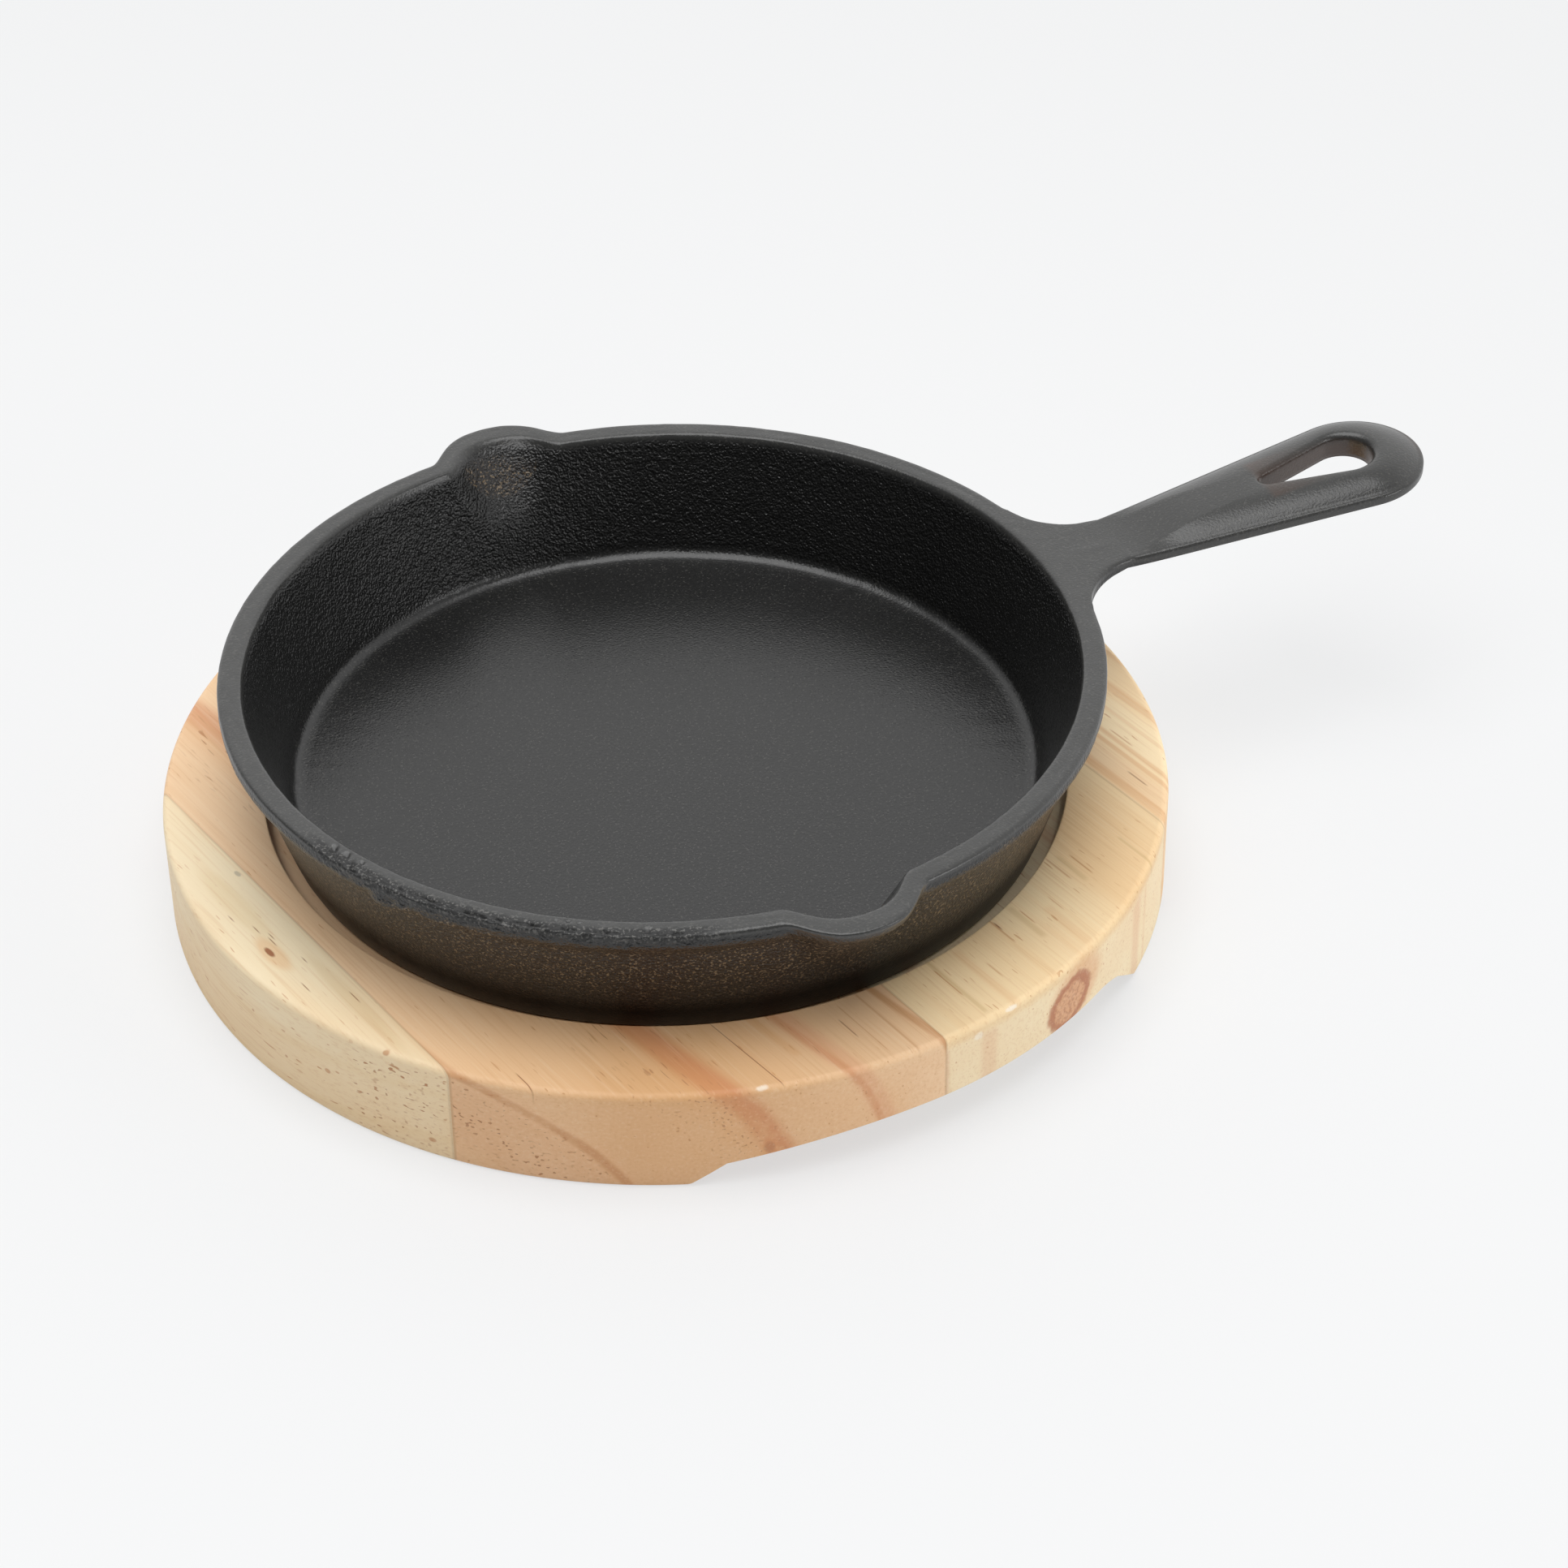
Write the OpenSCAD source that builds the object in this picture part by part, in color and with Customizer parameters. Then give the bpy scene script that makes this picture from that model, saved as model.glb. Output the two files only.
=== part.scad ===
// Sizzle platter: a small cast-iron skillet standing in the recess of a round wooden base.
// Millimetres, +Z up. The origin is on the skillet's axis, in the plane that the base stands on,
// and +X runs along the handle. The skillet is one casting; the base is four boards glued
// edge to edge, turned round, with a recess on top and a finger channel right across below.

/* [Skillet bowl] */
// Diameter over the rim
rim_d = 160; // [154:1:180]
// Diameter of the foot, which stands in the base
foot_d = 140; // [124:1:146]
// Height from the foot to the top of the rim
pan_h = 28; // [24:0.5:40]
// Thickness of the side wall, measured level
wall_t = 3.2; // [2.6:0.1:4.2]
// Thickness of the cooking floor
floor_t = 4.5; // [3:0.1:6]
// Radius of the fillet between floor and wall
floor_fillet = 3; // [2:0.5:6]
// Radius of the rounded edge of the foot
foot_round = 1.5; // [0.5:0.1:3]

/* [Rim] */
// How far the band round the rim stands out from the wall
band_out = 1.1; // [0.5:0.1:2]
// Height of the band
band_h = 3; // [2.5:0.1:5]
// Radius of the rounded edges of the rim
rim_round = 0.8; // [0.4:0.1:1.2]

/* [Pouring spouts] */
// Angle from the handle to the first spout; the second is opposite it
spout_angle = 91.5; // [80:0.5:100]
// How far a spout stands out from the rim
spout_out = 7; // [4:0.5:10]
// Width of a spout at the rim
spout_w = 28; // [22:1:32]
// Depth of the pouring groove behind the rim's inner edge
groove_depth = 6.3; // [4:0.1:9]
// Width of the groove at the rim
groove_w = 26; // [20:1:30]
// How far the spout runs down the outside of the wall
spout_drop = 18; // [12:1:22]
// How far the groove runs down the inside of the wall
groove_drop = 15; // [10:1:18]

/* [Handle] */
// Length from the rim to the tip
handle_l = 76; // [60:1:110]
// Width at the neck
neck_w = 15.2; // [12:0.2:20]
// Radius of the fillets between the neck and the rim
neck_fillet = 14.3; // [12.5:0.1:18]
// Radius of the rounded end
end_r = 13.5; // [12.5:0.5:16]
// Thickness in the middle, without the crown
handle_t = 2.4; // [2.2:0.1:5]
// Thickness at the edge, into which the rim's band runs out
handle_edge = 1.9; // [1.2:0.1:2]
// Rise for each millimetre of length, past the bend
handle_slope = 0.08; // [0:0.01:0.2]
// Length over which the handle bends up
bend_l = 20; // [12:1:30]
// How much the top is crowned
crown = 2.5; // [0.4:0.1:3]
// How far the underside draws in below the edge
draft = 4; // [3:0.1:5]

/* [Hanging eye] */
// Radius of the eye's round end
eye_r = 5.6; // [4.5:0.1:6.5]
// Length of the eye from its point to its round end
eye_l = 23.5; // [18:0.5:30]
// Radius at the point
eye_tip_r = 1.6; // [1:0.1:3]
// Iron left between the eye and the tip of the handle
eye_web = 10; // [7:0.5:12]
// Radius of the eye's rounded rim
eye_round = 1.3; // [0.5:0.1:1.5]

/* [Wooden base] */
// Diameter
base_d = 184; // [174:1:220]
// Thickness
base_t = 20; // [18:0.5:30]
// Gap all round between the skillet's foot and the recess
seat_gap = 3.5; // [1:0.5:5]
// Depth of the recess
recess_depth = 3.5; // [2:0.5:5]
// Radius of the rounded top edge
top_round = 2; // [0.5:0.5:4]
// Radius of the rounded bottom edge
low_round = 1; // [0.5:0.5:3]
// Width of the narrow board, opposite the handle
rear_strip_w = 14; // [10:1:26]
// Width of the board at the handle
handle_strip_w = 30; // [20:1:42]
// How far the middle glue line lies from halfway between the others, towards the handle
middle_offset = 2; // [-10:0.5:10]
// Angle by which the boards are turned from square to the handle
base_turn = 12; // [-45:1:45]

/* [Finger channel] */
// Width where it meets the table
channel_w = 97; // [60:1:110]
// Offset of the channel from the middle, towards the handle
channel_offset = -1.4; // [-5:0.1:5]
// Height of its roof
channel_h = 7.7; // [6.5:0.1:10]
// Slope of its two flanks
flank_angle = 37; // [30:1:60]
// Height of the flank on the side away from the handle
rear_flank_h = 4.5; // [3:0.1:6]
// Height of the flank on the handle's side
handle_flank_h = 6; // [3:0.1:6]
// Length over which the roof is reached on the side away from the handle
rear_ease = 34; // [5:1:36]
// The same on the handle's side
handle_ease = 7; // [5:1:20]

/* [Hidden] */
$fn = 96;

rim_r = rim_d / 2;
foot_r = foot_d / 2;
base_r = base_d / 2;
foot_z = base_t - recess_depth;

// How much the wall leans out for each millimetre of height, and its angle from upright
lean = (rim_r - band_out - foot_r) / pan_h;
lean_angle = atan(lean);
// Points on each rounded edge, and on each straight stretch of wall
arc_steps = 4;
wall_steps = 9;
// Radius inside which the cooking floor is one plain disc, and how far the two overlap
disc_inset = 6;
disc_overlap = 1;
disc_r = foot_r - floor_fillet - wall_t - disc_inset;
// Half the sector of the rim that holds a spout, and the sections across it
spout_half = asin(spout_w / 2 / rim_r) + 1;
spout_steps = 24;
// How much of its width a spout keeps at its lower end
spout_foot_share = 0.45;
// The spout's plan is a bell; above 0 it is fuller at the shoulders
bell_fullness = 1.2;
// The share of a spout's drop that eases back into the wall
spout_ease = 0.3;
// Each piece of the casting lies this much under the one it is let into, and reaches this
// many degrees into the plain wall
flush_step = 0.02;
let_in = 0.6;

handle_reach = rim_r + handle_l;
end_u = handle_reach - end_r;
// The neck is cut across just short of where its fillets end; the handle starts inside it
neck_setback = 0.3;
handle_start = 8;
neck_end =
    let (c = neck_centre(0, pan_h)) sqrt(c * c - neck_fillet * neck_fillet) - neck_setback;
start_u = rim_r + handle_start;
// Direction of the handle's straight edge, tangent to the neck's fillet and to the end
edge_angle = let (d = [end_u, 0] - neck_centre(0, pan_h))
    atan2(d.y, d.x) + asin((end_r + neck_fillet) / norm(d));
eye_u = handle_reach - eye_web - eye_r;
eye_tip_u = eye_u + eye_r - eye_l + eye_tip_r;
eye_edge_angle = asin((eye_r - eye_tip_r) / (eye_u - eye_tip_u));

function arc(centre, r, from, to, steps) =
    [for (i = [0 : steps]) let (a = from + (to - from) * i / steps) centre + r * [cos(a), sin(a)]];
function blend(a, b, t) = a * (1 - t) + b * t;
function stretch(a, b, steps) = [for (i = [1 : steps - 1]) blend(a, b, i / steps)];
function level(t) = t * t * (3 - 2 * t);
function unit(a) = [cos(a), sin(a)];

// Radius of the outer and of the inner face of the wall at height z above the foot
function outer_r(z) = foot_r + lean * z;
function inner_r(z) = outer_r(z) - wall_t;

// Half-section of the wall, as [radius, height] from the edge of the plain disc round and back
function ledge() =
    let (z = (pan_h - band_h - (rim_r - foot_r)) / (1 - lean)) [outer_r(z), z];
function foot_face() =
    concat([[disc_r, 0]],
           arc([foot_r - foot_round * (1 - sin(lean_angle)) / cos(lean_angle), foot_round],
               foot_round, -90, -lean_angle, arc_steps));
function outer_face(steps) =
    concat(foot_face(), stretch(foot_face()[arc_steps + 1], ledge(), steps),
           [ledge(), [rim_r, pan_h - band_h]],
           arc([rim_r - rim_round, pan_h - rim_round], rim_round, 0, 90, arc_steps));
function lip_arc() =
    let (lip_z = pan_h - rim_round)
    arc([inner_r(lip_z) + rim_round / cos(lean_angle), lip_z], rim_round, 90, 180 - lean_angle,
        arc_steps);
function floor_arc() =
    let (fillet_z = floor_t + floor_fillet)
    arc([inner_r(fillet_z) - floor_fillet / cos(lean_angle), fillet_z], floor_fillet,
        -lean_angle, -90, arc_steps + 2);
function inner_face(steps) =
    concat(lip_arc(), stretch(lip_arc()[arc_steps], floor_arc()[0], steps), floor_arc(),
           [[disc_r, floor_t]]);

// How far a spout pushes the wall out, at distance s round the rim and depth d below its top
function bell(t) = abs(t) >= 1 ? 0 : pow(1 - t * t, 2) * (1 + bell_fullness * t * t);
function fade(d, drop) =
    let (f = max(0, 1 - d / drop))
    (f < spout_ease ? f * f / (2 * spout_ease) : f - spout_ease / 2) / (1 - spout_ease / 2);
function push(s, d, depth, width, drop) =
    let (share = blend(spout_foot_share, 1, max(0, 1 - d / drop)))
    depth * fade(d, drop) * bell(s / (width / 2 * share));

// One section of the wall, at angle a from the middle of a spout
function spout_section(a) =
    let (s = rim_r * sin(a))
    concat(
        [for (p = outer_face(wall_steps))
            [p.x - flush_step + push(s, pan_h - p.y, spout_out, spout_w, spout_drop),
             max(flush_step, min(pan_h - flush_step, p.y))]],
        [for (p = inner_face(wall_steps))
            [p.x + flush_step + push(s, pan_h - p.y, groove_depth, groove_w, groove_drop),
             p.y - flush_step]]);

module cooking_floor() cylinder(r = disc_r + disc_overlap, h = floor_t);

// The plain wall between two angles
module wall_sector(from, to)
    rotate(from) rotate_extrude(angle = to - from) polygon(concat(outer_face(1), inner_face(1)));

// A stretch of wall through a section at each angle; outer and inner face have as many points
module wall_loft(angles, sections) {
    n = len(sections[0]);
    last = (len(angles) - 1) * n;
    points = [for (i = [0 : len(angles) - 1], p = sections[i])
        [p.x * cos(angles[i]), p.x * sin(angles[i]), p.y]];
    ends = [for (j = [0 : n / 2 - 2]) each [
        [j, n - 2 - j, j + 1],
        [j, n - 1 - j, n - 2 - j],
        [last + j, last + j + 1, last + n - 2 - j],
        [last + j, last + n - 2 - j, last + n - 1 - j]]];
    skin = [for (i = [0 : len(angles) - 2], j = [0 : n - 1]) let (k = (j + 1) % n) each [
        [i * n + j, (i + 1) * n + k, (i + 1) * n + j],
        [i * n + j, i * n + k, (i + 1) * n + k]]];
    polyhedron(points, concat(ends, skin));
}

module spout_sector() {
    angles = [for (i = [0 : spout_steps]) (spout_half + let_in) * (2 * i / spout_steps - 1)];
    wall_loft(angles, [for (a = angles) spout_section(a)]);
}

// How far the handle has risen at distance u from the skillet's axis
function rise(u) =
    let (v = u - rim_r, bent = max(0, min(v, bend_l)))
    handle_slope * (bent * bent / (2 * bend_l) + max(0, v - bend_l));

// The neck's fillet at height z is tangent to the wall there; inset draws the outline in
function wall_r(z) = z >= pan_h - band_h ? rim_r : max(outer_r(z), rim_r - (pan_h - band_h - z));
function neck_centre(inset, z) =
    let (v = neck_w / 2 - inset + neck_fillet, reach = wall_r(z) + neck_fillet)
    [sqrt(reach * reach - v * v), v];
// How far the neck's outline is from the axis, at angle a from the handle
function neck_reach(a, inset, z) =
    let (c = neck_centre(inset, z),
         along = c * unit(abs(a)),
         rest = along * along - c * c + neck_fillet * neck_fillet)
    abs(a) > atan2(c.y, c.x) ? 0 : min(neck_end - inset, rest > 0 ? along - sqrt(rest) : neck_end);

// The inner face there, with its points opposite those of the rim, the band and the ledge
opposite_share = 0.15;
function neck_inner_face() =
    let (
        band_z = pan_h - band_h,
        fillet_z = floor_arc()[0].y,
        heights = concat(stretch(lip_arc()[arc_steps].y, band_z, arc_steps + 1),
                         [for (i = [1, 2]) blend(band_z, fillet_z, i * opposite_share)])
    )
    concat(lip_arc(), [for (z = heights) [inner_r(z), z]], floor_arc(), [[disc_r, floor_t]]);

// One section of the wall where it runs out into the neck, at angle a from the handle
top_steps = 5;
ledge_step = [0.6, 0.6];
function neck_section(a) =
    let (
        under_z = pan_h - handle_t,
        band_r = max(rim_r, neck_reach(a, 0, pan_h)),
        band = blend(band_h, handle_edge, (band_r - rim_r) / (neck_end - rim_r)),
        mid = ledge() + ledge_step,
        under_r = max(mid.x, neck_reach(a, draft, under_z)),
        under = [under_r, blend(mid.y, under_z, min(1, (under_r - mid.x) / draft))],
        edge = [for (i = [0 : arc_steps]) let (e = 90 * i / arc_steps, in = rim_round * (1 - cos(e)))
            [max(rim_r - in, neck_reach(a, in, pan_h)), pan_h - rim_round * (1 - sin(e))]],
        top = stretch(edge[arc_steps], lip_arc()[0], top_steps),
        foot = concat(foot_face(), stretch(foot_face()[arc_steps + 1], ledge(), 2), [ledge()])
    )
    concat(
        [for (p = foot) [p.x - flush_step, max(flush_step, p.y)]],
        [for (p = [under, [band_r, pan_h - band]])
            [p.x - flush_step, p.y + flush_step + rise(p.x * cos(a))]],
        [for (p = concat(edge, top)) [p.x - flush_step, p.y - flush_step + rise(p.x * cos(a))]],
        [for (p = neck_inner_face()) [p.x + flush_step, p.y - flush_step]]);

// The sections stand at even steps along the fillet, and close together at the neck
fillet_steps = 11;
root_angle = let (c = neck_centre(0, pan_h)) atan2(c.y, c.x);
neck_half = root_angle + let_in;
function neck_angles() =
    let (
        c = neck_centre(0, pan_h),
        narrow = root_angle - asin(neck_fillet / norm(c)),
        fillet = arc(c, -neck_fillet, root_angle, narrow + 90, fillet_steps),
        half = concat([neck_half + let_in],
                      [for (i = [0 : fillet_steps - 1]) atan2(fillet[i].y, fillet[i].x)],
                      [narrow * 0.7, narrow * 0.35])
    )
    concat([for (a = half) -a], [0], [for (i = [len(half) - 1 : -1 : 0]) half[i]]);

module neck_sector() wall_loft(neck_angles(), [for (a = neck_angles()) neck_section(a)]);

// One side of the handle's outline, drawn in by inset, from inside the neck to the tip
root_steps = 8;
side_steps = 12;
end_steps = 12;
function handle_side(inset) =
    let (
        n = unit(edge_angle + 90),
        tangent = neck_centre(0, pan_h) - (neck_fillet + inset) * n,
        start = tangent + unit(edge_angle) * (start_u - tangent.x) / cos(edge_angle),
        tip_r = end_r - inset
    )
    concat([start], stretch(start, [end_u, 0] + tip_r * n, side_steps),
           arc([end_u, 0], tip_r, edge_angle + 90, 0, end_steps));
// The eye's outline in the same steps, so that each point faces one of the handle's
function eye_side(outset) =
    let (
        from = [eye_tip_u, 0] + (eye_tip_r + outset) * unit(eye_edge_angle + 90),
        to = [eye_u, 0] + (eye_r + outset) * unit(eye_edge_angle + 90)
    )
    concat([from], stretch(from, to, side_steps),
           arc([eye_u, 0], eye_r + outset, eye_edge_angle + 90, 0, end_steps));
function mirrored(side) = [for (i = [len(side) - 2 : -1 : 0]) [side[i].x, -side[i].y]];
function closed(root, side) =
    concat([for (i = [1 : root_steps - 1]) root[i]], side, mirrored(side));
function handle_ring(inset) =
    let (side = handle_side(inset), w = side[0].y)
    closed([for (i = [0 : root_steps]) [start_u, w * (2 * i / root_steps - 1)]], side);
function eye_ring(outset) =
    closed(arc([eye_tip_u, 0], eye_tip_r + outset, 270 - eye_edge_angle, 90 + eye_edge_angle,
               root_steps), eye_side(outset));

// The handle is one skin wound from the eye over the top, the edge and the underside, and back
module handle_blank() {
    face_steps = 6;
    round_steps = 3;
    outer = handle_ring(rim_round + flush_step);
    inner = eye_ring(eye_round);
    low_outer = handle_ring(draft + flush_step);
    low_inner = eye_ring(0);
    lift = pan_h - 2 * flush_step;
    function crowned(p, t) =
        crown * t * (2 - t) * level(max(0, min(1, (p.x - neck_end) / end_r)));
    top_rings = [for (i = [face_steps : -1 : 1])
        [for (j = [0 : len(outer) - 1])
            let (p = blend(outer[j], inner[j], i / face_steps))
            [p.x, p.y, lift + rise(p.x) + crowned(p, i / face_steps)]]];
    edge_rings = [for (i = [0 : round_steps]) let (a = 90 * i / round_steps)
        [for (p = handle_ring(rim_round * (1 - sin(a)) + flush_step))
            [p.x, p.y, lift + rise(p.x) - rim_round * (1 - cos(a))]]];
    side_ring = [for (p = handle_ring(flush_step)) [p.x, p.y, lift + rise(p.x) - handle_edge]];
    low_rings = [for (i = [0 : face_steps - 1])
        [for (j = [0 : len(low_outer) - 1])
            let (p = blend(low_outer[j], low_inner[j], i / (face_steps - 1)))
            [p.x, p.y, pan_h - handle_t + 2 * flush_step + rise(p.x)]]];
    eye_rings = [for (i = [0 : round_steps - 1]) let (a = 90 * i / round_steps)
        [for (p = eye_ring(eye_round * (1 - cos(a))))
            [p.x, p.y, lift + rise(p.x) + crown - eye_round * (1 - sin(a))]]];
    rings = concat(top_rings, edge_rings, [side_ring], low_rings, eye_rings);
    n = len(rings[0]);
    faces = [for (i = [0 : len(rings) - 1], j = [0 : n - 1])
        let (k = (j + 1) % n, below = (i + 1) % len(rings)) each [
            [i * n + j, below * n + k, i * n + k],
            [i * n + j, below * n + j, below * n + k]]];
    polyhedron([for (r = rings) each r], faces);
}

module skillet()
    color("#3b3b3c") translate([0, 0, foot_z]) {
        cooking_floor();
        wall_sector(neck_half, spout_angle - spout_half);
        wall_sector(spout_angle + spout_half, spout_angle + 180 - spout_half);
        wall_sector(spout_angle + 180 + spout_half, 360 - neck_half);
        rotate(spout_angle) spout_sector();
        rotate(spout_angle + 180) spout_sector();
        neck_sector();
        handle_blank();
    }

// Half-section of the round board before its recess and channel are cut
module board_section() {
    translate([0, low_round]) square([base_r, base_t - low_round - top_round]);
    square([base_r - low_round, base_t - top_round]);
    translate([0, low_round]) square([base_r - top_round, base_t - low_round]);
    translate([base_r - top_round, base_t - top_round]) circle(top_round);
    translate([base_r - low_round, low_round]) circle(low_round);
}

// Section of the channel: sloping flanks, each easing into the flat roof along a parabola
module channel_section() {
    ease_steps = 8;
    rear = -channel_w / 2;
    front = channel_w / 2;
    rear_top = rear + rear_flank_h / tan(flank_angle);
    front_top = front - handle_flank_h / tan(flank_angle);
    function eased(flank_h, t) = channel_h - (channel_h - flank_h) * pow(1 - t, 2);
    translate([channel_offset, 0]) polygon(concat(
        [[rear - 1 / tan(flank_angle), -1]],
        [for (i = [0 : ease_steps]) let (t = i / ease_steps)
            [rear_top + rear_ease * t, eased(rear_flank_h, t)]],
        [for (i = [ease_steps : -1 : 0]) let (t = i / ease_steps)
            [front_top - handle_ease * t, eased(handle_flank_h, t)]],
        [[front + 1 / tan(flank_angle), -1]]));
}

// One board of the base, between two glue lines; the boards run along Y before they are turned
module base_strip(from, to, tone)
    color(tone) rotate(base_turn) difference() {
        intersection() {
            rotate_extrude() board_section();
            translate([from, -base_r - 1, -1]) cube([to - from, base_d + 2, base_t + 2]);
        }
        translate([0, 0, foot_z]) cylinder(r = foot_r + seat_gap, h = recess_depth + 1);
        rotate([90, 0, 0]) linear_extrude(height = base_d + 2, center = true) channel_section();
    }

// The two middle boards share the width that the outer ones leave, but for the offset
rear_glue = rear_strip_w - base_r;
handle_glue = base_r - handle_strip_w;
middle_glue = (rear_glue + handle_glue) / 2 + middle_offset;

module base_strip_rear() base_strip(-base_r - 1, rear_glue, "#ecd9b4");
module base_strip_rear_middle() base_strip(rear_glue, middle_glue, "#e3bd92");
module base_strip_handle_middle() base_strip(middle_glue, handle_glue, "#ead6ae");
module base_strip_handle_side() base_strip(handle_glue, base_r + 1, "#e6cba0");

skillet();
base_strip_rear();
base_strip_rear_middle();
base_strip_handle_middle();
base_strip_handle_side();
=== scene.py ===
import math

import bmesh
import bpy
import numpy as np
from mathutils import Matrix, Vector


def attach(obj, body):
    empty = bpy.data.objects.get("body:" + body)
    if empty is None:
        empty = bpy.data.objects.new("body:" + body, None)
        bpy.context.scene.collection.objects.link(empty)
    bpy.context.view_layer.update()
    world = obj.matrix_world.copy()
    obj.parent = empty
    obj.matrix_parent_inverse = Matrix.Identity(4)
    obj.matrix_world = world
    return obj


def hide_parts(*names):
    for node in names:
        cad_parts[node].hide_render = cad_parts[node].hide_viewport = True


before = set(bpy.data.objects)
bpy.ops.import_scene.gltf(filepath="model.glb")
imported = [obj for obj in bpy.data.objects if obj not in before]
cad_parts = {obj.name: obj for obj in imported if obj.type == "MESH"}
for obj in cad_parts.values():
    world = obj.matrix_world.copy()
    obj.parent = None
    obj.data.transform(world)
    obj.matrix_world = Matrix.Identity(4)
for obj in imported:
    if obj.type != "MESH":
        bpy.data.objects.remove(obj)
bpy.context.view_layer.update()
MM = 0.001

# Skillet, in millimetres, as the part's source has it
RIM_R = 80.0
FOOT_R = 70.0
PAN_H = 28.0
WALL_T = 3.2
FLOOR_T = 4.5
FLOOR_FILLET = 3.0
FOOT_ROUND = 1.5
BAND_OUT = 1.1
BAND_H = 3.0
RIM_ROUND = 0.8
SPOUT_ANGLE = 91.5
SPOUT_OUT, SPOUT_W, SPOUT_DROP = 7.0, 28.0, 18.0
GROOVE_DEPTH, GROOVE_W, GROOVE_DROP = 6.3, 26.0, 15.0
SPOUT_FOOT_SHARE, BELL_FULLNESS, SPOUT_EASE = 0.45, 1.2, 0.3
HANDLE_L = 76.0
NECK_W = 15.2
NECK_FILLET = 14.3
END_R = 13.5
HANDLE_START = 8.0
HANDLE_T, HANDLE_EDGE = 2.4, 1.9
HANDLE_SLOPE = 0.08
BEND_L = 20.0
CROWN = 2.5
DRAFT = 4.0
EYE_R, EYE_L, EYE_TIP_R, EYE_WEB, EYE_ROUND = 5.6, 23.5, 1.6, 10.0, 1.3

# Wooden base; the rounds of its edges are crisper than in the part's source
BASE_R = 92.0
BASE_T = 20.0
RECESS_R = 73.5
RECESS_DEPTH = 3.5
TOP_ROUND, LOW_ROUND, RECESS_ROUND = 1.3, 0.8, 0.35
BASE_TURN = 12.0
GLUE_LINES = (-78.0, -6.0, 62.0)
CHANNEL_W, CHANNEL_OFFSET, CHANNEL_H = 97.0, -1.4, 7.7
FLANK_ANGLE, REAR_FLANK_H, HANDLE_FLANK_H = 37.0, 4.5, 6.0
REAR_EASE, HANDLE_EASE = 34.0, 7.0

FOOT_Z = BASE_T - RECESS_DEPTH
LEAN = (RIM_R - BAND_OUT - FOOT_R) / PAN_H
LEAN_ANGLE = math.degrees(math.atan(LEAN))
HANDLE_REACH = RIM_R + HANDLE_L
END_U = HANDLE_REACH - END_R
EYE_U = HANDLE_REACH - EYE_WEB - EYE_R
EYE_TIP_U = EYE_U + EYE_R - EYE_L + EYE_TIP_R

# The flawed stretch of the rim, in degrees from the handle
FLAW_FROM, FLAW_TO = -162.0, -106.0


def unit(angle):
    return np.array([math.cos(math.radians(angle)), math.sin(math.radians(angle))])


def arc(centre, r, start, end, steps):
    return [np.array(centre) + r * unit(start + (end - start) * i / steps) for i in range(steps + 1)]


def outer_r(z):
    return FOOT_R + LEAN * z


def inner_r(z):
    return outer_r(z) - WALL_T


def lerp(a, b, t):
    return a + (b - a) * t


# How far a spout pushes the wall out, at s millimetres round the rim and depth d below it
def push(s, d, depth, width, drop):
    left = max(0.0, 1 - d / drop)
    t = abs(s) / (width / 2 * lerp(SPOUT_FOOT_SHARE, 1, left))
    if t >= 1:
        return 0.0
    bell = (1 - t * t) ** 2 * (1 + BELL_FULLNESS * t * t)
    eased = left * left / (2 * SPOUT_EASE) if left < SPOUT_EASE else left - SPOUT_EASE / 2
    return depth * bell * eased / (1 - SPOUT_EASE / 2)


def rise(u):
    v = u - RIM_R
    bent = max(0.0, min(v, BEND_L))
    return HANDLE_SLOPE * (bent * bent / (2 * BEND_L) + max(0.0, v - BEND_L))


def wall_r(z):
    band_z = PAN_H - BAND_H
    return RIM_R if z >= band_z else max(outer_r(z), RIM_R - (band_z - z))


def neck_centre(inset, z):
    v = NECK_W / 2 - inset + NECK_FILLET
    reach = wall_r(z) + NECK_FILLET
    return np.array([math.sqrt(reach * reach - v * v), v])


NECK_CENTRE = neck_centre(0, PAN_H)
NECK_END = math.sqrt(NECK_CENTRE @ NECK_CENTRE - NECK_FILLET ** 2) - 0.3
ROOT_ANGLE = math.degrees(math.atan2(NECK_CENTRE[1], NECK_CENTRE[0]))
TO_END = np.array([END_U, 0.0]) - NECK_CENTRE
EDGE_ANGLE = (math.degrees(math.atan2(TO_END[1], TO_END[0]))
              + math.degrees(math.asin((END_R + NECK_FILLET) / np.linalg.norm(TO_END))))
EYE_EDGE_ANGLE = math.degrees(math.asin((EYE_R - EYE_TIP_R) / (EYE_U - EYE_TIP_U)))


def neck_reach(a, inset, z):
    c = neck_centre(inset, z)
    if abs(a) > math.degrees(math.atan2(c[1], c[0])):
        return 0.0
    along = float(c @ unit(abs(a)))
    rest = along * along - float(c @ c) + NECK_FILLET ** 2
    return min(NECK_END - inset, along - math.sqrt(rest) if rest > 0 else NECK_END)


LEDGE_Z = (PAN_H - BAND_H - (RIM_R - FOOT_R)) / (1 - LEAN)
MIDDLE_R = 20.0
LEDGE_BLEND = 0.6
SOFTENINGS = 3


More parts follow.
